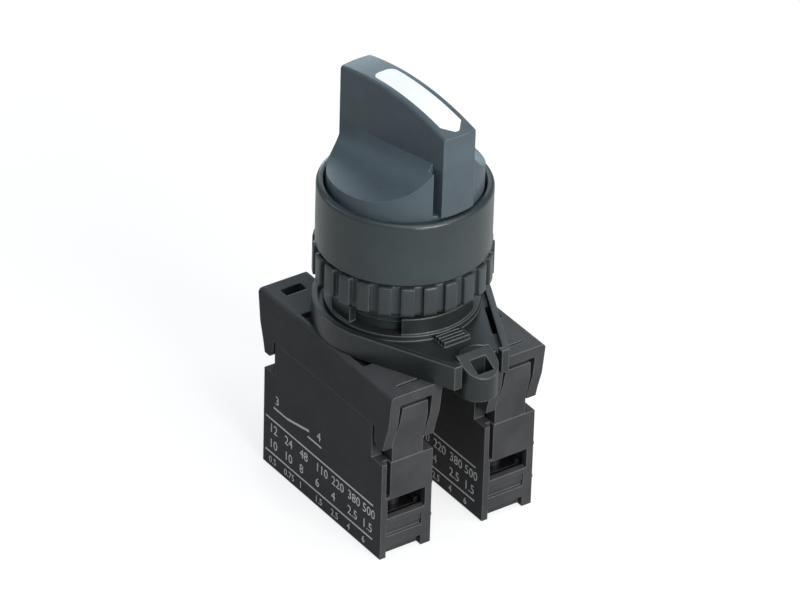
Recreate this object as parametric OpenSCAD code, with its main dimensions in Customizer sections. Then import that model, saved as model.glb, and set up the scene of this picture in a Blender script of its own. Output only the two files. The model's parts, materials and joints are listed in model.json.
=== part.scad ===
// Panel selector switch for a 22 mm cut-out, with two push-on contact blocks.
// Origin: centre of the bezel's underside. Z runs up the knob's axis, X along the contact blocks.

/* [Bezel] */
// Outer diameter of the threaded neck
neck_d = 22; // [20:0.1:26]
// Length of the neck below the bezel
neck_len = 11; // [10:0.1:13]
// Wall thickness of the neck
neck_wall = 1.4; // [1.2:0.05:1.6]
// How far the bezel reaches out past the neck
bezel_lip = 3.75; // [3.4:0.05:4.6]
// Height of the bezel ring above the panel
bezel_h = 11.4; // [9:0.1:14]
// Wall thickness of the bezel ring
bezel_wall = 1.15; // [1.1:0.05:1.5]
// Thickness of the bezel's floor
bezel_floor = 3; // [2.6:0.1:4]
// Rounding of the ring's top edge
bezel_edge_r = 0.7; // [0.3:0.1:1]

/* [Gasket and nut] */
// Thickness of the panel gasket
gasket_t = 0.6; // [0.4:0.1:1]
// Width of the gasket's ring
gasket_w = 3.1; // [2:0.1:3.3]
// How far the nut's ribs reach out past the neck
nut_band = 4.15; // [3.4:0.05:5]
// Height of the nut
nut_h = 5.5; // [4.5:0.1:6]
// Number of ribs round the nut
rib_count = 25; // [18:1:30]
// Width of one rib
rib_w = 2.2; // [1.8:0.1:2.6]
// Depth of the grooves between the ribs
rib_depth = 0.9; // [0.5:0.1:1.2]

/* [Knob] */
// Gap between the knob's round body and the bezel ring
knob_gap = 0.5; // [0.35:0.05:1]
// Height of the round body's top beside the blade, above the bezel
body_rise = 9.5; // [8:0.1:11]
// Turn of the blade against the knob's stop, in degrees
blade_turn = 3.8; // [0:0.1:8]
// Width of the finger blade
blade_w = 6.6; // [5.5:0.1:8]
// How far the blade's two ends reach past the round body
blade_lip = 0.9; // [0.4:0.1:1.2]
// Height of the blade's crown above the bezel
blade_rise = 17.6; // [15:0.1:21]
// Radius of the blade's arched top
arch_r = 54; // [30:1:90]
// Distance of the crown behind the knob's axis
crown_back = 1.6; // [0:0.1:4]
// Rounding of the blade's top edges
blade_edge_r = 0.6; // [0.2:0.1:1]
// Radius of the finger dish at the middle of the knob
dish_r = 11.1; // [9.5:0.1:12]
// Widening of the dish towards the front, per side, in degrees
dish_taper = 17.8; // [10:0.2:20]
// Distance of the dish's axis from the blade's side
dish_side = 9.35; // [8:0.05:9.5]
// Height of the dish's axis above the bezel
dish_rise = 12.9; // [12:0.05:14]
// Turn of the dish's axis away from the blade, in degrees
dish_yaw = 14.2; // [8:0.2:15]
// Climb of the dish's axis towards the front, in degrees
dish_pitch = 21.5; // [15:0.5:22]
// Width of the upright groove beside the blade's front end
cheek_gap = 0.9; // [0.4:0.1:1.2]
// Depth of that groove into the round body
cheek_depth = 2.2; // [0.8:0.1:3]
// Length of the indicator insert
mark_len = 19.8; // [14:0.1:22]
// Width of the indicator insert
mark_w = 4.3; // [3:0.1:5]
// Distance from the insert's tip to the blade's front end
mark_end = 1.1; // [0.8:0.1:3]
// Depth of the insert
mark_depth = 0.8; // [0.5:0.1:1.5]

/* [Rotor] */
// How far the cam flange reaches out past the neck
cam_lip = 1.05; // [0.8:0.05:1.4]
// Thickness of the cam flange
cam_t = 1.1; // [0.8:0.1:1.2]
// Travel that the cam gives each plunger over a quarter turn
travel = 2.4; // [1.8:0.1:2.6]
// Side of the square key between rotor and knob
key_w = 8; // [6:0.1:9]
// Height of the square key
key_h = 4; // [3:0.1:5]
// Diameter of the detent ball
ball_d = 2.4; // [2:0.1:2.6]
// Depth of the detent track in the neck's bore
track_depth = 0.5; // [0.4:0.05:0.6]

/* [Holder] */
// How far the holder's round part reaches out past the cam flange
holder_band = 3.05; // [2.5:0.05:3.6]
// Slope of the straight sides towards the corner, in degrees
holder_slope = 26; // [22:1:30]
// Reach of the latch tongue past the contact blocks' covers
tongue_reach = 5.4; // [4.6:0.1:6.5]
// Width of the latch tongue
tongue_w = 6.6; // [5:0.1:7]
// Width of the slots beside the tongue
tongue_slot = 0.7; // [0.4:0.1:1]
// How far the holder's front shoulder stands back from the tongue's front
shoulder_back = 2.3; // [1.8:0.1:3]
// Wall thickness of the holder
holder_wall = 1.1; // [0.9:0.1:1.6]
// Depth of the holder's floor below its rim
holder_sunk = 1; // [0.6:0.1:1.3]
// Thickness of the holder's floor
holder_floor = 1.2; // [0.8:0.1:1.6]
// Thickness of the collar round the neck
collar_t = 1.5; // [1.1:0.1:1.7]
// Height of the collar above the holder's rim
collar_h = 3; // [2:0.1:3.6]

/* [Contact block] */
// Width of a contact block
block_w = 10.2; // [9.6:0.1:10.4]
// Gap between neighbouring block places
block_gap = 0.2; // [0.1:0.05:0.6]
// Height of a block
block_h = 33.5; // [32:0.1:36]
// Length of the block's body
body_len = 35.2; // [33:0.1:38]
// How far the cover reaches past each end of the body
cover_reach = 2.25; // [1.8:0.05:2.6]
// Height of the cover's side wall
cover_side = 8; // [7:0.1:9]
// Height of the cover's end legs
cover_leg = 11.6; // [11:0.1:12.4]
// Height of the open notch below the end legs
notch_h = 3; // [2:0.1:3.5]
// Wall thickness of cover and body
wall = 1.1; // [0.9:0.05:1.3]
// Rounding of the cover's long top edges
cover_edge_r = 0.8; // [0.3:0.1:1.2]
// Depth of the locating pocket in the cover's top
pocket_depth = 1.2; // [0.8:0.1:1.4]
// Length of the locating pocket
pocket_len = 18.6; // [17:0.1:20]
// Width of the body's wall beside the wire entry
entry_side = 1.3; // [1.2:0.05:1.6]
// Height of the wire entry
entry_h = 3.8; // [3:0.1:4]
// Distance from the block's underside to the wire entry
entry_z = 7.7; // [7:0.1:9]
// Height of the recess under each end of the block
foot_h = 2; // [1.4:0.1:2.2]
// Depth of that recess
foot_depth = 1.3; // [0.8:0.1:1.4]
// Clearance round the body's latch tongues
latch_gap = 0.9; // [0.3:0.1:1.2]

/* [Contacts] */
// Diameter of the plunger
plunger_d = 3.6; // [3:0.1:4]
// Thickness of the contact strips and bridge
strip_t = 0.8; // [0.6:0.05:1]
// Clearance between a contact strip and the sides of its cavity
strip_side = 0.3; // [0.2:0.05:0.5]
// Diameter of a contact tip
tip_d = 2.4; // [2:0.1:3]
// Height of a contact tip
tip_h = 0.5; // [0.3:0.1:0.8]
// Distance from the end of the body to a terminal screw
screw_in = 4.6; // [4.4:0.1:5]
// Diameter of the terminal screw's thread
screw_d = 3; // [2.5:0.1:3.5]
// Diameter of the terminal screw's head
screw_head_d = 5.6; // [5:0.1:6]
// Wire diameter of the return spring
spring_wire = 0.4; // [0.3:0.05:0.5]
// Clearance between the return spring and the sides of its cavity
spring_side = 0.3; // [0.2:0.05:0.5]
// Turns of the return spring
spring_turns = 7; // [5:1:9]

/* [Hidden] */
// Facets of large and of small round faces
big = 144;
small = 48;
// Clearance of a running fit, and of pieces that are only set beside each other
fit = 0.07;
gap = 0.3;
seat = 0.1;
// Overlap that makes a cut pass its face cleanly
past = 0.2;

neck_r = neck_d / 2;
neck_bore_r = neck_r - neck_wall;
bezel_r = neck_r + bezel_lip;
bezel_bore_r = bezel_r - bezel_wall;
gasket_r = neck_r + gasket_w + seat;
nut_r = neck_r + nut_band;
rib_phase = 0.8;
knob_r = bezel_bore_r - knob_gap;
blade_r = knob_r + blade_lip;
rotor_r = neck_bore_r - fit;
block_pitch = block_w + block_gap;
cam_r = max(neck_r, block_pitch + 0.5) + cam_lip;

// Levels of the knob and rotor
knob_base = bezel_floor + gap;
blade_base = bezel_h + 0.5;
body_top_z = bezel_h + body_rise;
dish_z = bezel_h + dish_rise;
dish_y = blade_w / 2 + dish_side;
dish_reach = 2 * knob_r;
blade_crown = bezel_h + blade_rise;
arch_z = blade_crown - arch_r;
cheek_top = body_top_z - 0.4;
cam_top = -neck_len - 0.6;
cam_under = cam_top - cam_t;
stop_r = (neck_bore_r + bezel_bore_r) / 2;
stop_w = 1.6;
stop_angle = 12;
stop_play = 1.5;
stop_sunk = 1.5;
detent_z = -5;
ball_x = neck_bore_r + track_depth - 0.06 - ball_d / 2;
pocket_sink = 0.25;
seal_z = -1;
seal_r = 0.65;
seal_x = neck_bore_r - 0.05 - seal_r;
spring_x = 3;
detent_wire = 0.35;
// Screw between the knob and the rotor, with its hole and head recess
shank_r = 1.2;
shank_len = 12;
shank_hole = 14;
screw_hole_r = 1.6;
screw_cap_r = 2.75;
screw_cap_h = 1.8;
cross_w = 0.7;
rotor_head_r = 3.2;
rotor_head_z = cam_under + 3;

// Levels and lengths of a contact block, from the block's own centre line
top_z = cam_under - travel - gap;
base_z = top_z - block_h;
side_z = top_z - cover_side;
leg_z = top_z - cover_leg;
shoulder_z = leg_z - notch_h;
pocket_z = top_z - pocket_depth;
half_w = block_w / 2;
core_w = block_w - 2 * wall - 2 * seat;
tongue_beside = 2;
tongue_taper = 0.6;
pocket_beside = 1.4;
pocket_w = block_w - 2 * pocket_beside;
leg_out = body_len / 2;
core_x = leg_out - 2.2;
leg_in = leg_out - 2.5;
side_x = leg_out - 3.2;
cover_x = leg_out + cover_reach;
leg_mid_x = cover_x - 0.75;
leg_mid_z = top_z - 6.1;
leg_low_x = leg_out + 0.5;
leg_low_z = leg_z + 2.1;
slot_x = cover_x - 2.45;
slot_depth = 2;
strap_h = 2.2;
tongue_foot_w = block_w - 2 * tongue_beside;
tongue_top_w = tongue_foot_w - 2 * tongue_taper;
tongue_t = 1.3;
cover_top_t = 2.2;
body_top = top_z - cover_top_t - seat;
screw_x = leg_out - screw_in;
// Lengths inside the block, most of them from the terminal screw's axis
chamber_back = 3.5;
chamber_front = 3.3;
chamber_rise = 5.2;
riser_back = 3.2;
tip_back = 2.1;
tip_margin = 1.6;
bridge_past = 2;
bridge_drop = 8.2;
cavity_back = 2;
cavity_wall = 1.1;
cavity_rise = 2.9;
entry_roof = 0.5;
clamp_t = 0.9;
clamp_edge_h = 1.7;
clamp_edge_t = 0.8;
clamp_len = 5.4;
head_h = 1.7;
guide_r = 1;
guide_len = 12;
cavity_x = screw_x - cavity_back;
cavity_w = core_w - 2 * cavity_wall;
strip_z = base_z + entry_z + entry_h + entry_roof;
cavity_z = strip_z + cavity_rise;
entry_w = block_w - 2 * entry_side;
strip_w = cavity_w - 2 * strip_side;
spring_d = cavity_w - 2 * spring_side;
chamber_in = screw_x - chamber_back;
chamber_out = screw_x + chamber_front;
chamber_z = base_z + chamber_rise;
chamber_w = block_w - 2 * wall;
strip_riser = screw_x - riser_back;
tip_x = strip_riser - tip_back;
plunger_top = cam_under - gap / 2;
bridge_z = top_z - bridge_drop;
bridge_x = tip_x + bridge_past;
strip_top_z = bridge_z - strip_t / 2 - 2 * tip_h - travel - seat;
clamp_z = base_z + entry_z - clamp_t;
fin_y = -0.35;
fin_w = 0.8;
bump_r = 0.55;

// Levels of the holder, which the blocks' covers and the neck set
rim_level = -neck_len;
floor_level = rim_level - holder_sunk;
floor_under = floor_level - holder_floor;
well_r = cam_r + 0.35;
step_r = well_r + 0.7;
holder_r = cam_r + holder_band;
collar_r = neck_r + seat + collar_t;
tangent = 90 - holder_slope;
tongue_root = cover_x + gap;
tongue_x = tongue_root + tongue_reach;
shoulder_x = tongue_x - shoulder_back;
tongue_bottom = top_z - 2.6;
tongue_low = 2.6;
nose_r = tongue_w / 2;
nose_x = tongue_x - nose_r;
floor_slot_w = 0.7;
floor_slot_start = 4;
floor_slot_end = 12.4;

// A ring or disc of a given height with its foot at z
module disc(r, z, h, facets = small) {
    translate([0, 0, z]) cylinder(r = r, h = h, $fn = facets);
}

// A box centred on X and Y, with its foot at z
module slab(x, y, z, h) {
    translate([-x / 2, -y / 2, z]) cube([x, y, h]);
}

// An outline in the XZ plane, extruded along Y and centred on it
module along_y(w) {
    translate([0, w / 2, 0]) rotate([90, 0, 0]) linear_extrude(height = w) children();
}

// An outline in the YZ plane, extruded along X and centred on it
module along_x(l) {
    translate([-l / 2, 0, 0]) rotate([90, 0, 90]) linear_extrude(height = l) children();
}

// A rectangle with round corners
module round_rect(x, y, r) {
    square([x - 2 * r, y], center = true);
    square([x, y - 2 * r], center = true);
    for (sx = [-1, 1], sy = [-1, 1])
        translate([sx * (x / 2 - r), sy * (y / 2 - r)]) circle(r = r, $fn = small);
}

// Points of one ring round a wire at angle a on a helix
function coil_point(r, rise, wire, a, b) = [
    (r + wire / 2 * cos(b)) * cos(a),
    (r + wire / 2 * cos(b)) * sin(a),
    rise * a / 360 + wire / 2 * sin(b)
];

// A coil spring with its axis on Z, from z = 0 to its height
module coil(outer_d, wire, height, turns) {
    sides = 8;
    steps = 18 * turns;
    r = (outer_d - wire) / 2;
    rise = (height - wire) / turns;
    points = [
        for (i = [0:steps]) for (j = [0:sides - 1])
            coil_point(r, rise, wire, 360 * turns * i / steps, 360 * j / sides)
    ];
    walls = [
        for (i = [0:steps - 1]) for (j = [0:sides - 1])
            [
                i * sides + j,
                (i + 1) * sides + j,
                (i + 1) * sides + (j + 1) % sides,
                i * sides + (j + 1) % sides
            ]
    ];
    ends = [
        [for (j = [0:sides - 1]) j],
        [for (j = [0:sides - 1]) steps * sides + sides - 1 - j]
    ];
    translate([0, 0, wire / 2]) polyhedron(points = points, faces = concat(walls, ends), convexity = 10);
}

// Bezel ring, floor and neck, one moulding
module bezel() {
    color([0.22, 0.26, 0.28]) difference() {
        rotate_extrude($fn = big) {
            translate([bezel_bore_r, 0]) square([bezel_wall, bezel_h - bezel_edge_r]);
            translate([bezel_bore_r, 0]) square([bezel_wall - bezel_edge_r, bezel_h]);
            translate([bezel_r - bezel_edge_r, bezel_h - bezel_edge_r])
                circle(r = bezel_edge_r, $fn = small);
            translate([neck_bore_r, 0]) square([bezel_bore_r - neck_bore_r + past, bezel_floor]);
            translate([neck_bore_r, -neck_len]) square([neck_r - neck_bore_r, neck_len + past]);
        }
        // Track for the detent ball, with a pocket at each position
        disc(neck_bore_r + track_depth, detent_z - ball_d / 2, ball_d, big);
        for (a = [0, -90]) rotate([0, 0, a]) translate([ball_x + pocket_sink, 0, detent_z])
            sphere(d = ball_d, $fn = small);
        // Quarter-turn groove for the knob's stop lug
        rotate([0, 0, -90 - stop_angle / 2 - stop_play])
            rotate_extrude(angle = 90 + stop_angle + 2 * stop_play, $fn = big)
                translate([stop_r - stop_w / 2 - gap, bezel_floor - stop_sunk])
                    square([stop_w + 2 * gap, stop_sunk + past]);
    }
}

// Flat ring seal under the bezel
module gasket() {
    color([0.08, 0.08, 0.09]) difference() {
        disc(gasket_r, -gasket_t, gasket_t, big);
        disc(neck_r + seat, -gasket_t - past, gasket_t + 2 * past, big);
    }
}

// Ring nut with upright ribs
module fixing_nut() {
    z = -gasket_t - nut_h;
    color([0.16, 0.18, 0.19]) difference() {
        union() {
            disc(nut_r - rib_depth, z, nut_h, big);
            intersection() {
                disc(nut_r, z, nut_h, big);
                for (i = [0:rib_count - 1]) rotate([0, 0, (i + rib_phase) * 360 / rib_count])
                    translate([nut_r - 2 * rib_depth, -rib_w / 2, z + 0.3])
                        cube([2 * rib_depth, rib_w, nut_h - 0.3]);
            }
        }
        disc(neck_r + 0.05, z - past, nut_h + 2 * past, big);
    }
}

// Cone that cuts one finger dish; its axis climbs and leaves the blade towards the front
module dish_cut(side) {
    spread = dish_reach * tan(dish_taper);
    scale([1, side, 1]) translate([0, dish_y, dish_z]) rotate([0, 0, dish_yaw])
        rotate([0, 90 - dish_pitch, 0]) translate([0, 0, -dish_reach])
            cylinder(h = 2 * dish_reach, r1 = dish_r - spread, r2 = dish_r + spread, $fn = big);
}

// Flat blade with round ends and a rounded arched top
module blade() {
    intersection() {
        disc(blade_r, blade_base, blade_crown - blade_base + 1, big);
        translate([-crown_back, 0, arch_z]) rotate([90, 0, 0]) rotate_extrude($fn = 2 * big) {
            translate([0, -blade_w / 2 + blade_edge_r]) square([arch_r, blade_w - 2 * blade_edge_r]);
            translate([0, -blade_w / 2]) square([arch_r - blade_edge_r, blade_w]);
            for (s = [-1, 1]) translate([arch_r - blade_edge_r, s * (blade_w / 2 - blade_edge_r)])
                circle(r = blade_edge_r, $fn = small);
        }
    }
}

// Outline of the indicator insert: round corners at the back, an arrow point at the front
module mark_outline() {
    tip = blade_r - mark_end;
    back = tip - mark_len;
    corner_r = 0.35 * mark_w;
    half = mark_w / 2;
    blunt = 0.4;
    translate([back + corner_r, -half]) square([mark_len - corner_r - half + blunt, mark_w]);
    translate([back, corner_r - half]) square([corner_r + past, mark_w - 2 * corner_r]);
    for (s = [-1, 1]) translate([back + corner_r, s * (half - corner_r)]) circle(r = corner_r, $fn = small);
    polygon([
        [tip - half, -half],
        [tip - half + blunt, -half],
        [tip, -blunt],
        [tip, blunt],
        [tip - half + blunt, half],
        [tip - half, half]
    ]);
}

// Shape of the indicator insert, in the blade's arched top
module mark_shape() {
    intersection() {
        translate([0, 0, blade_crown - 8]) linear_extrude(height = 12) mark_outline();
        translate([-crown_back, 0, arch_z]) rotate([90, 0, 0]) difference() {
            translate([0, 0, -blade_w / 2]) cylinder(r = arch_r, h = blade_w, $fn = 2 * big);
            translate([0, 0, -blade_w / 2 - past])
                cylinder(r = arch_r - mark_depth, h = blade_w + 2 * past, $fn = 2 * big);
        }
    }
}

// Knob with its blade, two finger dishes and the stop lug
module knob() {
    color([0.2, 0.25, 0.27]) difference() {
        union() {
            rotate([0, 0, blade_turn]) difference() {
                union() {
                    difference() {
                        disc(knob_r, knob_base, body_top_z - knob_base, big);
                        dish_cut(1);
                        dish_cut(-1);
                    }
                    blade();
                    intersection() {
                        disc(knob_r, knob_base, body_top_z - knob_base, big);
                        slab(2 * knob_r, blade_w, knob_base, body_top_z - knob_base);
                    }
                }
                for (s = [-1, 1]) translate([
                    knob_r - cheek_depth,
                    s * (blade_w + cheek_gap) / 2 - cheek_gap / 2,
                    blade_base
                ])
                    cube([cheek_depth + 2, cheek_gap, body_top_z]);
                mark_shape();
            }
            rotate([0, 0, -stop_angle / 2]) rotate_extrude(angle = stop_angle, $fn = big)
                translate([stop_r - stop_w / 2, bezel_floor - stop_sunk + gap])
                    square([stop_w, stop_sunk + past]);
        }
        slab(key_w + 2 * fit, key_w + 2 * fit, knob_base - past, key_h + past);
        disc(shank_r + 0.05, knob_base, shank_hole);
    }
}

// White insert in the blade's top
module indicator() {
    color([0.95, 0.95, 0.94]) rotate([0, 0, blade_turn]) mark_shape();
}

// One sloping cam lobe, which starts at the plunger's place and runs a quarter turn on
module cam_lobe() {
    slope = atan(travel / (2 * sin(45) * block_pitch));
    intersection() {
        difference() {
            disc(cam_r, cam_under - travel, travel + past, big);
            disc(block_pitch - 2, cam_under - travel - past, travel + 3 * past, big);
        }
        rotate([0, 0, 135]) translate([0, -2 * cam_r, cam_under - 2 * travel])
            cube([2 * cam_r, 4 * cam_r, 3 * travel]);
        rotate([0, 0, 135]) translate([0, 0, cam_under - travel / 2]) rotate([-slope, 0, 0])
            translate([0, -2 * cam_r, 0]) cube([2 * cam_r, 2 * cam_r + block_pitch * sin(54), 2 * travel]);
    }
}

// Shaft with the key, the cam flange and its two lobes
module rotor() {
    color([0.75, 0.74, 0.7]) difference() {
        union() {
            disc(rotor_r, cam_under, knob_base - cam_under, big);
            slab(key_w, key_w, knob_base - past, key_h + past - gap);
            disc(cam_r, cam_under, cam_t, big);
            cam_lobe();
            rotate([0, 0, 180]) cam_lobe();
        }
        difference() {
            disc(rotor_r + past, seal_z - seal_r, 2 * seal_r, big);
            disc(seal_x - seal_r, seal_z - 2 * seal_r, 4 * seal_r, big);
        }
        translate([spring_x, 0, detent_z]) rotate([0, 90, 0])
            cylinder(r = ball_d / 2 + fit, h = rotor_r, $fn = small);
        disc(screw_hole_r, cam_under - past, knob_base + key_h + 1 - cam_under);
        disc(rotor_head_r, cam_under - past, rotor_head_z - cam_under + past);
    }
}

// Screw that draws the rotor and the knob together
module rotor_screw() {
    cap_z = rotor_head_z - screw_cap_h;
    color([0.7, 0.7, 0.72]) difference() {
        union() {
            disc(shank_r, rotor_head_z - past, knob_base + shank_len - rotor_head_z);
            disc(screw_cap_r, cap_z, screw_cap_h);
        }
        slab(screw_cap_r + 0.5, cross_w, cap_z - past, screw_cap_h / 2 + past);
        slab(cross_w, screw_cap_r + 0.5, cap_z - past, screw_cap_h / 2 + past);
    }
}

// Ring seal in the rotor's groove
module shaft_seal() {
    color([0.1, 0.1, 0.1]) translate([0, 0, seal_z]) rotate_extrude($fn = big)
        translate([seal_x, 0]) circle(r = seal_r - 0.02, $fn = small);
}

// Ball that clicks into the neck's track
module detent_ball() {
    color([0.8, 0.8, 0.82]) translate([ball_x, 0, detent_z]) sphere(d = ball_d, $fn = small);
}

// Spring behind the ball
module detent_spring() {
    color([0.75, 0.76, 0.78]) translate([spring_x, 0, detent_z]) rotate([0, 90, 0])
        coil(ball_d - seat, detent_wire, ball_x - ball_d / 2 - spring_x + seat, 5);
}

// Outline of the holder, set in by a given amount
module holder_outline(inset) {
    r = holder_r - inset;
    x = shoulder_x - inset;
    y = (r - x * cos(tangent)) / sin(tangent);
    circle(r = r, $fn = big);
    polygon([
        [0, 0],
        [r * cos(tangent), -r * sin(tangent)],
        [x, -y],
        [x, y],
        [r * cos(tangent), r * sin(tangent)]
    ]);
}

// Latch tongue at the holder's corner, with its release pocket
module holder_tongue() {
    difference() {
        union() {
            disc(nose_r, tongue_bottom, rim_level - tongue_bottom, small);
            translate([-nose_x + tongue_root, -nose_r, tongue_bottom])
                cube([nose_x - tongue_root, tongue_w, rim_level - tongue_bottom]);
        }
        translate([-1.7, 0, rim_level]) rotate([0, atan(tongue_low / (nose_r + 1.7)), 0])
            translate([0, -tongue_w, 0]) cube([4 * nose_r, 2 * tongue_w, 4]);
        translate([-0.45, -1.6, rim_level - 4.2]) cube([2.6, 3.2, 5]);
        disc(nose_r - holder_wall, tongue_bottom - past, 2.3);
    }
}

// Collar round the neck on a step of the well, open at four places
module holder_collar() {
    difference() {
        rotate_extrude($fn = big) {
            translate([well_r, floor_level - past]) square([step_r - well_r, holder_sunk + past]);
            translate([neck_r + seat, rim_level - 0.3]) square([step_r - neck_r - seat, 0.3]);
            translate([neck_r + seat, rim_level - past]) square([collar_t, collar_h + past]);
        }
        for (a = [35, 102, 215, 282]) rotate([0, 0, a]) rotate_extrude(angle = 43, $fn = big)
            translate([neck_r - past, rim_level]) square([collar_t + 1, collar_h + past]);
    }
}

// Ribbed catch on the holder's floor in front of the collar
module holder_catch() {
    catch_h = 0.9;
    rib = 0.4;
    for (i = [0:3]) translate([step_r + 0.35 + 2 * rib * i, -0.2, 0])
        slab(rib, 4.7, floor_level - past, catch_h + past);
    translate([step_r + 0.35 + 3 * rib, 2.35, 0]) slab(7 * rib, 0.5, floor_level - past, catch_h + past);
}

// Carrier of the contact blocks
module holder() {
    color([0.13, 0.14, 0.15]) {
        difference() {
            translate([0, 0, top_z]) linear_extrude(height = rim_level - top_z) holder_outline(0);
            translate([0, 0, floor_level]) linear_extrude(height = holder_sunk + past)
                holder_outline(holder_wall);
            translate([0, 0, top_z - past]) linear_extrude(height = floor_under - top_z + past)
                holder_outline(holder_wall);
            disc(well_r, top_z - past, rim_level - top_z + 2 * past, big);
            for (s = [-1, 1]) translate([
                tongue_root + 1.2,
                s * (tongue_w / 2 + tongue_slot / 2) - tongue_slot / 2,
                top_z - past
            ])
                cube([shoulder_x, tongue_slot, rim_level - top_z + 2 * past]);
            translate([tongue_root, -tongue_w / 2, top_z - past])
                cube([shoulder_x, tongue_w, rim_level - top_z + 2 * past]);
            // Long slots in the floor beside the two straight walls
            for (s = [-1, 1]) scale([1, s, 1]) rotate([0, 0, tangent])
                translate([holder_r - holder_wall - floor_slot_w, -floor_slot_end, floor_under - past])
                    cube([floor_slot_w, floor_slot_end - floor_slot_start, holder_floor + 2 * past]);
        }
        translate([nose_x, 0, 0]) holder_tongue();
        holder_collar();
        holder_catch();
        // Locating arcs that reach into the covers' pockets
        intersection() {
            difference() {
                disc(step_r + 0.9, pocket_z, floor_under - pocket_z + past, big);
                disc(step_r - 0.1, pocket_z - past, floor_level - pocket_z + 2 * past, big);
            }
            for (s = [-1, 1]) translate([0, s * block_pitch, 0])
                slab(pocket_len - 2 * seat, pocket_w - 2 * seat, pocket_z, floor_level - pocket_z);
        }
    }
}

// Outline of the cover seen from its long side
module cover_outline() {
    polygon([
        [-leg_in, side_z],
        [-leg_in, leg_z + 0.8],
        [-leg_in - 1, leg_z],
        [-leg_out, leg_z],
        [-leg_low_x, leg_low_z],
        [-leg_mid_x, leg_mid_z],
        [-cover_x, top_z],
        [cover_x, top_z],
        [leg_mid_x, leg_mid_z],
        [leg_low_x, leg_low_z],
        [leg_out, leg_z],
        [leg_in + 1, leg_z],
        [leg_in, leg_z + 0.8],
        [leg_in, side_z]
    ]);
}

// Cross-section of the cover with its round top edges
module cover_section() {
    translate([-half_w, leg_z - past]) square([block_w, cover_leg + past - cover_edge_r]);
    translate([-half_w + cover_edge_r, top_z - 2 * cover_edge_r])
        square([block_w - 2 * cover_edge_r, 2 * cover_edge_r]);
    for (s = [-1, 1]) translate([s * (half_w - cover_edge_r), top_z - cover_edge_r])
        circle(r = cover_edge_r, $fn = small);
}

// Tapered latch tongue of the body, seen from the block's end
module latch_outline() {
    polygon([
        [-tongue_foot_w / 2, shoulder_z - past],
        [tongue_foot_w / 2, shoulder_z - past],
        [tongue_foot_w / 2, leg_low_z],
        [tongue_top_w / 2, top_z - strap_h - latch_gap],
        [-tongue_top_w / 2, top_z - strap_h - latch_gap],
        [-tongue_foot_w / 2, leg_low_z]
    ]);
}

// Opening in the cover's end that the latch tongue snaps into
module latch_opening() {
    half = tongue_foot_w / 2 + seat;
    polygon([
        [-half, shoulder_z - past],
        [half, shoulder_z - past],
        [half, top_z - strap_h],
        [-half, top_z - strap_h]
    ]);
}

// Snap-on cover of a contact block
module cover() {
    color([0.11, 0.115, 0.12]) difference() {
        intersection() {
            along_y(block_w) cover_outline();
            along_x(2 * cover_x) cover_section();
        }
        slab(2 * core_x + 2 * seat, core_w + 2 * seat, leg_z - past, cover_leg - cover_top_t + past);
        for (s = [-1, 1]) translate([s * (core_x + cover_x / 2), 0, 0]) along_x(cover_x) latch_opening();
        slab(pocket_len, pocket_w, pocket_z, pocket_depth + past);
        disc(plunger_d / 2 + fit, top_z - 3, 4);
        // Slots behind the end straps, the rear one wider
        translate([-slot_x, -2.4, top_z - slot_depth]) cube([2.1, 4.2, slot_depth + past]);
        translate([slot_x - 0.5, -2.2, top_z - slot_depth]) cube([0.5, 4.4, slot_depth + past]);
    }
}

// Latch tongue of the body, seen from the long side
module latch_side(s) {
    polygon([
        [s * (leg_out - 0.1), shoulder_z - past],
        [s * (leg_out - 0.1), leg_z],
        [s * (leg_low_x - 0.1), leg_low_z],
        [s * (leg_mid_x - 0.1), leg_mid_z],
        [s * (leg_mid_x + 0.2), top_z - strap_h - latch_gap],
        [s * (leg_mid_x - tongue_t), top_z - strap_h - latch_gap],
        [s * (leg_mid_x - tongue_t - 0.1), leg_mid_z],
        [s * (leg_low_x - tongue_t - 0.1), leg_low_z],
        [s * (core_x - past), leg_z],
        [s * (core_x - past), shoulder_z - past]
    ]);
}

// Hollow of one terminal: wire entry, chamber and screwdriver hole
module terminal_hollow(s) {
    translate([s * (chamber_in + chamber_out) / 2, 0, 0])
        slab(chamber_out - chamber_in, chamber_w, chamber_z, strip_z + strip_t + seat - chamber_z);
    translate([s * (chamber_out + 1), 0, 0]) slab(4, entry_w, base_z + entry_z, entry_h);
    translate([s * screw_x, 0, 0]) {
        disc(screw_head_d / 2 + 0.3, base_z - past, chamber_z - base_z + 2 * past);
        disc(screw_d / 2 + 0.2, strip_z, 4);
    }
}

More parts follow.
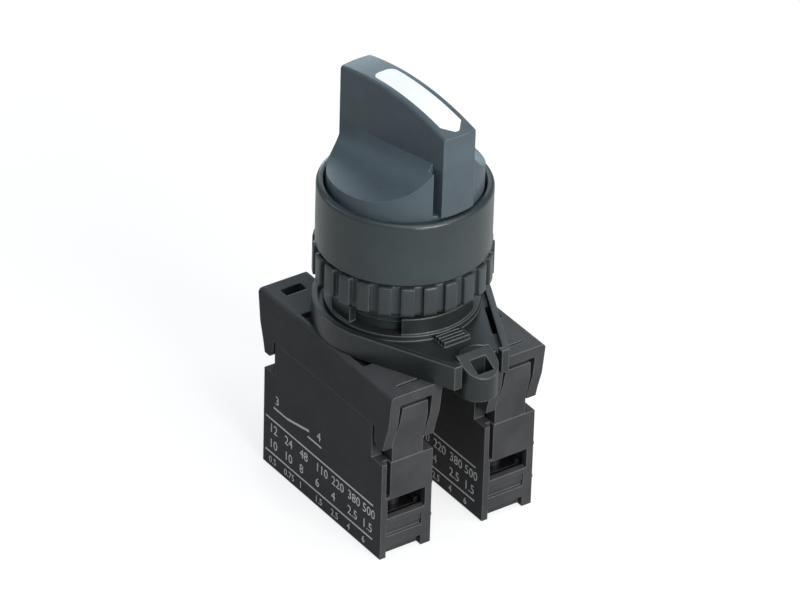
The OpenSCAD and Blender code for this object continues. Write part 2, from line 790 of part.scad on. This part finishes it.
// Housing of a contact block
module body() {
    color([0.1, 0.1, 0.105]) difference() {
        union() {
            slab(body_len, block_w, base_z, shoulder_z - base_z);
            slab(2 * side_x, block_w, shoulder_z - past, side_z - seat - shoulder_z + past);
            slab(2 * core_x, core_w, side_z - 2 * past, body_top - side_z + 2 * past);
            for (s = [-1, 1]) intersection() {
                along_y(block_w) latch_side(s);
                translate([s * core_x, 0, 0]) along_x(cover_x) latch_outline();
            }
            for (s = [-1, 1], z = [5.3, 12])
                translate([s * (leg_out - bump_r - 0.05), half_w - 0.1, base_z + z])
                    sphere(r = bump_r, $fn = small);
        }
        slab(2 * cavity_x, cavity_w, cavity_z, body_top - cavity_z + past);
        disc(guide_r + fit, cavity_z - travel - 1.6, travel + 2);
        for (s = [-1, 1]) {
            translate([s * (strip_riser + strip_t / 2), 0, 0])
                slab(strip_t + 2 * seat, strip_w + 2 * seat, strip_z - seat, cavity_z - strip_z + 2 * past);
            terminal_hollow(s);
            // Groove beside the smooth end plate, a sill and a bar below the entry, and a recess under them
            translate([s * leg_out, s * (fin_y - entry_w / 2 + fin_w / 2), strip_z])
                slab(2.4, fin_w, 0, shoulder_z - strip_z + past);
            translate([s * leg_out, s * fin_y, base_z]) {
                slab(0.7, entry_w - 0.5, 5.1, 1.6);
                slab(1.2, entry_w - 0.5, 4.2, 1);
                slab(2 * foot_depth, entry_w - 0.5, -past, foot_h + past);
            }
        }
    }
}

// Push rod with a round tip, a shoulder for the bridge and a guide pin
module plunger() {
    tip = plunger_d / 2;
    color([0.85, 0.84, 0.8]) {
        intersection() {
            disc(tip, plunger_top - 3, 3);
            translate([0, 0, plunger_top - 2.2]) sphere(r = 2.2, $fn = small);
        }
        disc(tip, bridge_z + strip_t / 2, plunger_top - 1.2 - bridge_z - strip_t / 2);
        disc(guide_r, bridge_z + strip_t / 2 - guide_len, guide_len + past);
    }
}

// Moving bridge with its two contact tips
module bridge() {
    color([0.8, 0.62, 0.3]) difference() {
        union() {
            slab(2 * bridge_x, strip_w - 1, bridge_z - strip_t / 2, strip_t);
            for (s = [-1, 1]) translate([s * tip_x, 0, 0])
                disc(tip_d / 2, bridge_z - strip_t / 2 - tip_h, tip_h + past);
        }
        disc(guide_r + seat / 2, bridge_z - strip_t, 2 * strip_t);
    }
}

// Return spring round the guide pin
module return_spring() {
    color([0.75, 0.76, 0.78]) translate([0, 0, cavity_z + 0.05])
        coil(spring_d, spring_wire, bridge_z - strip_t / 2 - cavity_z - 0.1, spring_turns);
}

// Fixed contact strip from its tip to the terminal
module strip() {
    color([0.8, 0.62, 0.3]) difference() {
        union() {
            translate([strip_riser, -strip_w / 2, strip_z])
                cube([chamber_out - strip_riser - seat, strip_w, strip_t]);
            translate([strip_riser, -strip_w / 2, strip_z]) cube([strip_t, strip_w, strip_top_z - strip_z]);
            translate([tip_x - tip_margin, -strip_w / 2, strip_top_z - strip_t])
                cube([strip_riser + strip_t - tip_x + tip_margin, strip_w, strip_t]);
            translate([tip_x, 0, 0]) disc(tip_d / 2, strip_top_z - past, tip_h + past);
        }
        translate([screw_x, 0, 0]) disc(screw_d / 2 + 0.05, strip_z - past, strip_t + 2 * past);
    }
}

// Wire clamp plate with turned-up edges
module clamp() {
    color([0.72, 0.73, 0.75]) translate([screw_x, 0, 0]) difference() {
        union() {
            slab(clamp_len, chamber_w - clamp_edge_t, clamp_z, clamp_t);
            for (s = [-1, 1]) translate([0, s * (chamber_w / 2 - clamp_edge_t), 0])
                slab(clamp_len, clamp_edge_t, clamp_z, clamp_edge_h);
        }
        disc(screw_d / 2 + 0.1, clamp_z - past, 2);
    }
}

// Terminal screw with its head towards the block's underside
module terminal_screw() {
    color([0.78, 0.78, 0.8]) translate([screw_x, 0, 0]) difference() {
        union() {
            disc(screw_d / 2, clamp_z - past, strip_z + strip_t + 1.2 - clamp_z);
            disc(screw_head_d / 2, clamp_z - head_h, head_h);
        }
        slab(3.6, 0.8, clamp_z - head_h - past, 0.8 + past);
        slab(0.8, 3.6, clamp_z - head_h - past, 0.8 + past);
    }
}

// Places a piece in a block's place, -1 for the left and 1 for the right
module at_block(side) {
    translate([0, side * block_pitch, 0]) children();
}

// Places a piece of a block at its front, or turned to its rear
module at_end(side, end) {
    at_block(side) rotate([0, 0, end > 0 ? 0 : 180]) children();
}

bezel();
gasket();
fixing_nut();
knob();
indicator();
rotor();
rotor_screw();
shaft_seal();
detent_ball();
detent_spring();
holder();
at_block(-1) cover();  // left_cover
at_block(1) cover();  // right_cover
at_block(-1) body();  // left_body
at_block(1) body();  // right_body
at_block(-1) plunger();  // left_plunger
at_block(1) plunger();  // right_plunger
at_block(-1) bridge();  // left_bridge
at_block(1) bridge();  // right_bridge
at_block(-1) return_spring();  // left_return_spring
at_block(1) return_spring();  // right_return_spring
at_end(-1, 1) strip();  // left_front_strip
at_end(-1, -1) strip();  // left_rear_strip
at_end(1, 1) strip();  // right_front_strip
at_end(1, -1) strip();  // right_rear_strip
at_end(-1, 1) clamp();  // left_front_clamp
at_end(-1, -1) clamp();  // left_rear_clamp
at_end(1, 1) clamp();  // right_front_clamp
at_end(1, -1) clamp();  // right_rear_clamp
at_end(-1, 1) terminal_screw();  // left_front_screw
at_end(-1, -1) terminal_screw();  // left_rear_screw
at_end(1, 1) terminal_screw();  // right_front_screw
at_end(1, -1) terminal_screw();  // right_rear_screw
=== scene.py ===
"""Looks of a panel selector switch: moulded plastics, metal contacts, neck thread, plain marks, studio and camera.

All lengths are in metres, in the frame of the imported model, except where a name or a helper says millimetres.
"""
import json
import math

import bmesh
import bpy
from mathutils import Matrix, Vector


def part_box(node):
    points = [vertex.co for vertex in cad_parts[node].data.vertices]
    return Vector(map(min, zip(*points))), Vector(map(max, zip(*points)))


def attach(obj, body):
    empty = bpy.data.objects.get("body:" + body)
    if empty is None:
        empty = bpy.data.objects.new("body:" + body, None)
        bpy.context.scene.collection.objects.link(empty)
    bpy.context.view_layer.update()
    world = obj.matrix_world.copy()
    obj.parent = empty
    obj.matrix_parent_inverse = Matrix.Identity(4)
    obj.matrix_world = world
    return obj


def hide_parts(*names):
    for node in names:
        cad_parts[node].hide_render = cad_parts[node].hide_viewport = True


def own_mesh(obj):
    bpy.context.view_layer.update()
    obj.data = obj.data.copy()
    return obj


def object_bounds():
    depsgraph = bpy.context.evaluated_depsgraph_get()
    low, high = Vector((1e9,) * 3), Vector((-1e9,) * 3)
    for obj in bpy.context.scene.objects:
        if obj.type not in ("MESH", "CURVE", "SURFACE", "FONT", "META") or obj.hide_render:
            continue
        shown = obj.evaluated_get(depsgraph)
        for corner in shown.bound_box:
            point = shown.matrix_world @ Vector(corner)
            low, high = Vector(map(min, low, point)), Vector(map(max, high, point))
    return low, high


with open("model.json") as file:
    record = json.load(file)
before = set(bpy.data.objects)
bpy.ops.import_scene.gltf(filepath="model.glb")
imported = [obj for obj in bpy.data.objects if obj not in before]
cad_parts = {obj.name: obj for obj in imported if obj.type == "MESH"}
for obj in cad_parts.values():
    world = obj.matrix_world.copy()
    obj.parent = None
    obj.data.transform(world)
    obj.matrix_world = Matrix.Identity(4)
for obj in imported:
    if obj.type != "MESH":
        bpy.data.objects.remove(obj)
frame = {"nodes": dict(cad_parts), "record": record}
cad_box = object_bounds()
nodes = frame["nodes"]
MM = 0.001


def level(node, corner, axis):
    """One side of a node's box, in millimetres: corner 0 is the lowest and 1 the highest."""
    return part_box(node)[corner][axis] / MM


# Underside of the nut, radius and lower end of the neck, and the printed faces of the blocks, in millimetres
NUT_BOTTOM = level("fixing_nut", 0, 2)
NECK_R = 11.0
NECK_END = level("bezel", 0, 2)
SIDE_FACE = {side: level(side + "_body", 0, 1) for side in ("left", "right")}
# Thickness of the ink in millimetres, half of it above the face
INK = 0.04
# Height of the figures in a font of size 1
FIGURE_HEIGHT = 0.7


class Value:
    """An output socket of a material's node, with sums written as plain expressions."""

    def __init__(self, tree, socket):
        self.tree = tree
        self.socket = socket

    def node(self, kind, settings=None, inputs=None, output=0):
        """Adds a node, sets its settings, then links or sets its inputs, and returns one output."""
        made = self.tree.nodes.new(kind)
        for name, value in (settings or {}).items():
            setattr(made, name, value)
        for key, value in (inputs or {}).items():
            if isinstance(value, Value):
                self.tree.links.new(value.socket, made.inputs[key])
            else:
                made.inputs[key].default_value = value
        return Value(self.tree, made.outputs[output])

    def maths(self, operation, *values):
        """One sum of values and plain numbers."""
        return self.node("ShaderNodeMath", {"operation": operation}, dict(enumerate(values)))

    def __add__(self, other):
        return self.maths("ADD", self, other)

    def __radd__(self, other):
        return self.maths("ADD", other, self)

    def __sub__(self, other):
        return self.maths("SUBTRACT", self, other)

    def __rsub__(self, other):
        return self.maths("SUBTRACT", other, self)

    def __mul__(self, other):
        return self.maths("MULTIPLY", self, other)

    def __rmul__(self, other):
        return self.maths("MULTIPLY", other, self)

    def clamp(self, low, high):
        """Maps low to 0 and high to 1, and holds the value between them."""
        return self.node("ShaderNodeMapRange", {"clamp": True}, {"Value": self, "From Min": low, "From Max": high})

    def tint(self, first, second):
        """Mixes two colours, the second where this value is 1. Either may be a Value."""
        mix = {"data_type": "RGBA", "blend_type": "MIX"}
        values = [v if isinstance(v, Value) else (*v, 1.0) for v in (first, second)]
        return self.node("ShaderNodeMix", mix, {0: self, 6: values[0], 7: values[1]}, output=2)


def new_material(name):
    """An empty material, its Principled shader, and a Value that adds nodes to it."""
    material = bpy.data.materials.new(name)
    material.use_nodes = True
    tree = material.node_tree
    shader = tree.nodes["Principled BSDF"]
    return material, shader, Value(tree, None)


def plug(value, socket):
    """Links a value to an input socket."""
    value.tree.links.new(value.socket, socket)


def place(value):
    """The object coordinates, in metres."""
    return value.node("ShaderNodeTexCoord", output=3)


def noise(value, where, size, detail=2.0, roughness=0.5):
    """Soft noise from 0 to 1 whose spots are about size metres across."""
    inputs = {"Vector": where, "Scale": 1.0 / size, "Detail": detail, "Roughness": roughness}
    return value.node("ShaderNodeTexNoise", None, inputs)


def rounded_edges(value, radius):
    """A normal rounded over the edges, and a mask that is 1 on them."""
    faint, full = 0.01, 0.22
    rounded = value.node("ShaderNodeBevel", {"samples": 6}, {"Radius": radius})
    flat = value.node("ShaderNodeNewGeometry", output=1)
    along = value.node("ShaderNodeVectorMath", {"operation": "DOT_PRODUCT"}, {0: rounded, 1: flat}, output=1)
    return rounded, (1 - along).clamp(faint, full)


def moulded(name, colour, roughness, grain=0.0003, rim=1.0, edge=0.00022, soft=None, depth=0.00002,
            specular=0.4, cloud=0.12):
    """Moulded plastic: fine grain, faint flow marks, uneven gloss and paler, smoother edges.

    rim is how many times paler the painted highlight makes an edge, edge its radius, soft the radius that the
    corners look rounded by, depth the grain's height, and cloud how far the flow marks lighten and darken the
    colour.
    """
    flow_size, painted_highlight_lift, painted_highlight_strength = 0.009, 0.006, 0.75
    flow_gloss, grain_gloss, rub_gloss = 0.16, 0.1, 0.08
    material, shader, v = new_material(name)
    where = place(v)
    rounded, painted_highlight_mask = rounded_edges(v, edge)
    if soft:
        rounded = v.node("ShaderNodeBevel", {"samples": 8}, {"Radius": soft})
    flow = noise(v, where, flow_size, detail=3.0, roughness=0.6)
    speck = noise(v, where, grain, detail=1.0)
    dark = tuple(c * (1 - cloud) for c in colour)
    pale = tuple(c * (1 + cloud) for c in colour)
    # The edges are painted paler: a painted highlight along the rims and lips.
    painted_highlight_colour = tuple(min(1.0, c * rim + painted_highlight_lift) for c in colour)
    body = flow.clamp(0.3, 0.7).tint(dark, pale)
    plug((painted_highlight_mask * painted_highlight_strength).tint(body, painted_highlight_colour), shader.inputs["Base Color"])
    patchy = (flow - 0.5) * flow_gloss + (speck - 0.5) * grain_gloss
    plug(patchy - painted_highlight_mask * rub_gloss + roughness, shader.inputs["Roughness"])
    height = {"Strength": 0.5, "Distance": depth, "Height": speck, "Normal": rounded}
    plug(v.node("ShaderNodeBump", None, height), shader.inputs["Normal"])
    shader.inputs["Specular IOR Level"].default_value = specular
    return material


def metal(name, colour, roughness, streak):
    """Plated or stamped metal with fine streaks along X, duller patches and smoother edges.

    streak is how long a streak is.
    """
    edge_radius, patch_size, streak_depth, stretch = 0.00008, 0.003, 0.00001, 8.0
    streak_gloss, patch_gloss, edge_gloss, tarnish = 0.25, 0.15, 0.06, 0.8
    material, shader, v = new_material(name)
    where = place(v)
    rounded, edge = rounded_edges(v, edge_radius)
    stretched = v.node("ShaderNodeMapping", None, {"Vector": where, "Scale": (1.0, stretch, stretch)})
    lines = noise(v, stretched, streak, detail=3.0, roughness=0.7)
    patch = noise(v, where, patch_size, detail=3.0, roughness=0.6)
    dull = tuple(c * tarnish for c in colour)
    plug(patch.clamp(0.35, 0.65).tint(colour, dull), shader.inputs["Base Color"])
    streaky = (lines - 0.5) * streak_gloss + (patch - 0.5) * patch_gloss
    plug(streaky - edge * edge_gloss + roughness, shader.inputs["Roughness"])
    height = {"Strength": 0.3, "Distance": streak_depth, "Height": lines, "Normal": rounded}
    plug(v.node("ShaderNodeBump", None, height), shader.inputs["Normal"])
    shader.inputs["Metallic"].default_value = 1.0
    return material


def rubber(name, colour):
    """Black seal rubber with a dull bloom."""
    bloom_size, grain_size, grain_depth = 0.002, 0.0002, 0.00002
    bloom_paleness, bloom_gloss, roughness = 1.8, 0.2, 0.72
    material, shader, v = new_material(name)
    where = place(v)
    bloom = noise(v, where, bloom_size, detail=4.0, roughness=0.6)
    fine = noise(v, where, grain_size)
    pale = tuple(c * bloom_paleness for c in colour)
    plug(bloom.clamp(0.3, 0.75).tint(colour, pale), shader.inputs["Base Color"])
    plug((bloom - 0.5) * bloom_gloss + roughness, shader.inputs["Roughness"])
    height = {"Strength": 0.4, "Distance": grain_depth, "Height": fine}
    plug(v.node("ShaderNodeBump", None, height), shader.inputs["Normal"])
    shader.inputs["Specular IOR Level"].default_value = 0.3
    return material


def make_materials():
    """One finish for each of the record's material slots, and the ink of the marks."""
    return {
        "knob_plastic": moulded(
            "knob_plastic_satin", (0.072, 0.098, 0.116), 0.46, grain=0.00045, rim=2.4, depth=0.00007, cloud=0.16
        ),
        "bezel_plastic": moulded(
            "bezel_plastic_satin", (0.028, 0.041, 0.043), 0.32, grain=0.0004, rim=4.5, depth=0.00003, specular=0.5,
            cloud=0.18
        ),
        "white_plastic": moulded(
            "white_insert_gloss", (0.92, 0.92, 0.905), 0.35, edge=0.0001, depth=0.00001, cloud=0.02
        ),
        "nut_plastic": moulded("nut_plastic_dark", (0.038, 0.047, 0.051), 0.36, rim=3.0, soft=0.0008),
        "holder_plastic": moulded("holder_plastic_dark", (0.021, 0.025, 0.025), 0.36, rim=8.0, edge=0.00045),
        "block_plastic": moulded(
            "block_plastic_black", (0.06, 0.061, 0.065), 0.48, grain=0.00035, rim=3.8, edge=0.0003, depth=0.00006,
            specular=0.06, cloud=0.2
        ),
        "natural_plastic": moulded("nylon_natural", (0.5, 0.49, 0.43), 0.42),
        "seal_rubber": rubber("seal_rubber_black", (0.012, 0.012, 0.013)),
        "contact_brass": metal("contact_brass_stamped", (0.6, 0.42, 0.18), 0.3, 0.0004),
        # The screw steel is painted far darker than plated steel, as painted shade inside the wire entries.
        "screw_steel": metal("screw_steel_painted_shade", (0.1, 0.1, 0.105), 0.45, 0.0003),
        "spring_steel": metal("spring_wire_bright", (0.6, 0.6, 0.62), 0.25, 0.0002),
        "ink": moulded("mark_ink_pale", (0.85, 0.85, 0.84), 0.55, grain=0.0001, edge=0.00001, depth=0.000004),
    }


def dress_nodes(finishes):
    """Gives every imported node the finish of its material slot."""
    for entry in frame["record"]["subparts"]:
        slots = nodes[entry["node"]].material_slots
        for slot in slots:
            slot.material = finishes[entry["material_slot"]]


def new_piece(name, mesh_data, material, body):
    """Turns a bmesh, in metres, into a piece that rides on a body."""
    mesh = bpy.data.meshes.new(name)
    mesh_data.to_mesh(mesh)
    mesh_data.free()
    for face in mesh.polygons:
        face.use_smooth = False
    piece = bpy.data.objects.new(name, mesh)
    bpy.context.scene.collection.objects.link(piece)
    piece.data.materials.append(material)
    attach(piece, body)
    return piece


def to_metres(mesh_data):
    """Scales a bmesh that was drawn in millimetres, and points its faces outwards."""
    bmesh.ops.scale(mesh_data, vec=(MM, MM, MM), verts=mesh_data.verts)
    bmesh.ops.recalc_face_normals(mesh_data, faces=mesh_data.faces)


def return_springs(finishes):
    """The two return springs: copies of their solids at their full length, riding on the base."""
    for side in SIDE_FACE:
        node, push = side + "_return_spring", side + "_push"
        low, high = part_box(node)
        travel = next(j["range_m"][1] for j in frame["record"]["behaviour"]["joints"] if j["name"] == push)
        m = bmesh.new()
        m.from_mesh(nodes[node].data)
        bmesh.ops.remove_doubles(m, verts=m.verts, dist=1e-7)
        spring = new_piece(side + "_coil", m, finishes["spring_steel"], "base")
        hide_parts(node)
        1 - travel / (high[2] - low[2])
        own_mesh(spring)


def neck_thread(finishes):
    """A fine helical thread on the neck below the nut."""
    pitch, depth, crest = 1.0, 0.22, 0.12
    root, sunk, flank = 0.8 * pitch, 0.05, 0.32 * pitch
    lead_in, nut_gap, steps_a_turn = 0.35, 0.05, 72
    start = NECK_END + lead_in
    turns = (NUT_BOTTOM - start - root - nut_gap) / pitch
    steps = int(steps_a_turn * turns)
    foot, top = NECK_R - sunk, NECK_R + depth
    m = bmesh.new()
    ridge = [(foot, 0), (top, flank), (top, flank + crest), (foot, root)]
    outline = m.faces.new([m.verts.new((r, 0, start + z)) for r, z in ridge])
    parts = [outline, *outline.edges, *outline.verts]
    bmesh.ops.spin(
        m, geom=parts, cent=(0, 0, 0), axis=(0, 0, 1), dvec=(0, 0, pitch * turns / steps),
        angle=math.tau * turns, steps=steps,
    )
    to_metres(m)
    new_piece("neck_thread", m, finishes["bezel_plastic"], "base")


def add_bar(mesh_data, x, z, length, height, face, turn=0.0):
    """A thin printed bar on a side face; x and z are its left end, and turn lifts its right end."""
    left_end = Matrix.Translation((x, face, z)) @ Matrix.Rotation(-math.radians(turn), 4, "Y")
    middle = Matrix.Translation((length / 2, 0, 0))
    size = Matrix.Diagonal((length, INK, height, 1.0))
    bmesh.ops.create_cube(mesh_data, size=1.0, matrix=left_end @ middle @ size)


def add_number(mesh_data, text, x, z, height, face):
    """A printed number on a side face; x and z are its lower left corner and height is its figures' height."""
    letters = bpy.data.curves.new("figures", "FONT")
    letters.body = text
    letters.size = height / FIGURE_HEIGHT
    letters.extrude = INK / 2
    letters.resolution_u = 3
    holder = bpy.data.objects.new("figures", letters)
    mesh = bpy.data.meshes.new_from_object(holder)
    mesh.transform(Matrix.Translation((x, face, z)) @ Matrix.Rotation(math.radians(90), 4, "X"))
    mesh_data.from_mesh(mesh)
    bpy.data.objects.remove(holder)
    bpy.data.curves.remove(letters)
    bpy.data.meshes.remove(mesh)


def block_marks(finishes):
    """Plain marks on the blocks' sides: two long lines, a contact symbol and a table of plain numbers.

    All places are X and Z in millimetres.
    """
    line_x, line_length, line_height = -16.9, 32.2, 0.32
    columns = [-15.8, -11.2, -6.6, -1.8, 3.0, 7.8, 12.2]
    rows = [
        (-41.9, 1.75, ["12", "24", "48", "110", "220", "380", "500"]),
        (-45.0, 1.75, ["10", "10", "8", "6", "4", "2.5", "1.5"]),
        (-48.2, 1.3, ["0.5", "0.75", "1", "1.5", "2.5", "4", "6"]),
    ]
    contact_z, lead_length, lead_height = -36.6, 4.1, 0.34
    numeral_z, numeral_height = -35.6, 1.7
    for side, face in SIDE_FACE.items():
        m = bmesh.new()
        for z in (-39.3, -46.1):
            add_bar(m, line_x, z, line_length, line_height, face)
        for x in (-14.6, -4.3):
            add_bar(m, x, contact_z, lead_length, lead_height, face)
        add_bar(m, -10.5, contact_z, 6.7, 0.45, face, turn=11)
        for x, text in ((-14.2, "3"), (-1.6, "4")):
            add_number(m, text, x, numeral_z, numeral_height, face)
        for z, height, marks in rows:
            for x, text in zip(columns, marks):
                add_number(m, text, x, z, height, face)
        bmesh.ops.remove_doubles(m, verts=m.verts, dist=0.001)
        to_metres(m)
        new_piece(side + "_block_marks", m, finishes["ink"], "base")


def light_paths(v):
    """Three masks: rays from the camera, mirrored rays and rays through glass."""
    return [v.node("ShaderNodeLightPath", output=index) for index in (0, 3, 6)]


def studio_floor():
    """A pale floor under the blocks that reads white to the camera and keeps the shadow."""
    half_size, clearance, near, far = 3.0, 0.0002, 0.15, 0.8
    bounce, glow, mirrored = 0.34, 0.74, 0.5
    m = bmesh.new()
    bmesh.ops.create_grid(m, x_segments=1, y_segments=1, size=half_size)
    mesh = bpy.data.meshes.new("floor")
    m.to_mesh(mesh)
    m.free()
    floor = bpy.data.objects.new("floor", mesh)
    floor.location.z = cad_box[0].z - clearance
    bpy.context.scene.collection.objects.link(floor)
    material, shader, v = new_material("floor_pale")
    shader.inputs["Base Color"].default_value = (bounce, bounce, bounce, 1.0)
    shader.inputs["Roughness"].default_value = 0.9
    shader.inputs["Specular IOR Level"].default_value = 0.0
    seen, glossy, clear = light_paths(v)
    reach = v.node("ShaderNodeVectorMath", {"operation": "LENGTH"}, {0: place(v)}, output=1)
    plug(reach.clamp(near, far).tint((glow,) * 3, (1.0,) * 3), shader.inputs["Emission Color"])
    plug((seen + clear + glossy * mirrored).clamp(0.0, 1.0), shader.inputs["Emission Strength"])
    floor.data.materials.append(material)


def studio_world():
    """Even, weak light from all round, with a white background."""
    ambient, mirrored = 0.07, 0.18
    world = bpy.data.worlds.new("studio")
    bpy.context.scene.world = world
    world.use_nodes = True
    v = Value(world.node_tree, None)
    background = world.node_tree.nodes["Background"]
    background.inputs["Color"].default_value = (1.0, 1.0, 1.0, 1.0)
    seen, glossy, clear = light_paths(v)
    plug((seen + clear) * (1 - ambient) + glossy * mirrored + ambient, background.inputs["Strength"])


def area_light(name, place_mm, size_mm, watts, colour=(1.0, 1.0, 1.0)):
    """A square soft box that faces the middle of the part."""
    aim_mm = (0, 0, -10)
    lamp = bpy.data.lights.new(name, "AREA")
    lamp.shape = "SQUARE"
    lamp.size = size_mm * MM
    lamp.energy = watts
    lamp.color = colour
    holder = bpy.data.objects.new(name, lamp)
    bpy.context.scene.collection.objects.link(holder)
    position = Vector(place_mm) * MM
    aim = Vector(aim_mm) * MM
    holder.location = position
    holder.rotation_euler = (position - aim).to_track_quat("Z", "Y").to_euler()


def studio_lights():
    """A large key at the camera's right, soft light from above, behind and over the camera, and two rim lights."""
    area_light("key", (480, 0, 205), 280, 2.7, (1.0, 0.99, 0.97))
    area_light("top", (20, 90, 480), 320, 0.8)
    area_light("back", (-430, 240, 90), 280, 1.0, (0.75, 0.9, 1.0))
    area_light("fill", (220, -130, 430), 220, 0.42, (0.7, 0.88, 1.0))
    area_light("left_rim", (-370, -280, 255), 120, 0.34, (0.68, 0.86, 1.0))
    area_light("right_rim", (270, 250, 350), 120, 0.3)


def photo_camera():
    """The camera that was solved from the photograph: a long lens at the front right, 33 degrees up."""
    azimuth, elevation, roll = math.radians(54.498), math.radians(32.937), math.radians(-1.7095)
    distance_mm, right_mm, up_mm = 993.019, 0.5975, 10.3166
    focal_px, frame_px, sensor_mm = 6000, 800, 36.0
    back = Vector((
        math.sin(azimuth) * math.cos(elevation), -math.cos(azimuth) * math.cos(elevation), math.sin(elevation)
    ))
    right = Vector((math.cos(azimuth), math.sin(azimuth), 0.0))
    up = back.cross(right)
    across = right * math.cos(roll) - up * math.sin(roll)
    upward = right * math.sin(roll) + up * math.cos(roll)
    centre = (back * distance_mm - across * right_mm - upward * up_mm) * MM
    turn = Matrix((across, upward, back)).transposed().to_4x4()
    data = bpy.data.cameras.new("photo_camera")
    data.sensor_width = sensor_mm
    data.lens = focal_px * sensor_mm / frame_px
    data.clip_start = 0.05
    data.clip_end = 20.0
    camera = bpy.data.objects.new("photo_camera", data)
    bpy.context.scene.collection.objects.link(camera)
    camera.matrix_world = Matrix.Translation(centre) @ turn
    bpy.context.scene.camera = camera


finishes = make_materials()
dress_nodes(finishes)
return_springs(finishes)
neck_thread(finishes)
block_marks(finishes)
studio_floor()
studio_world()
studio_lights()
photo_camera()
bpy.context.scene.view_settings.view_transform = "Standard"
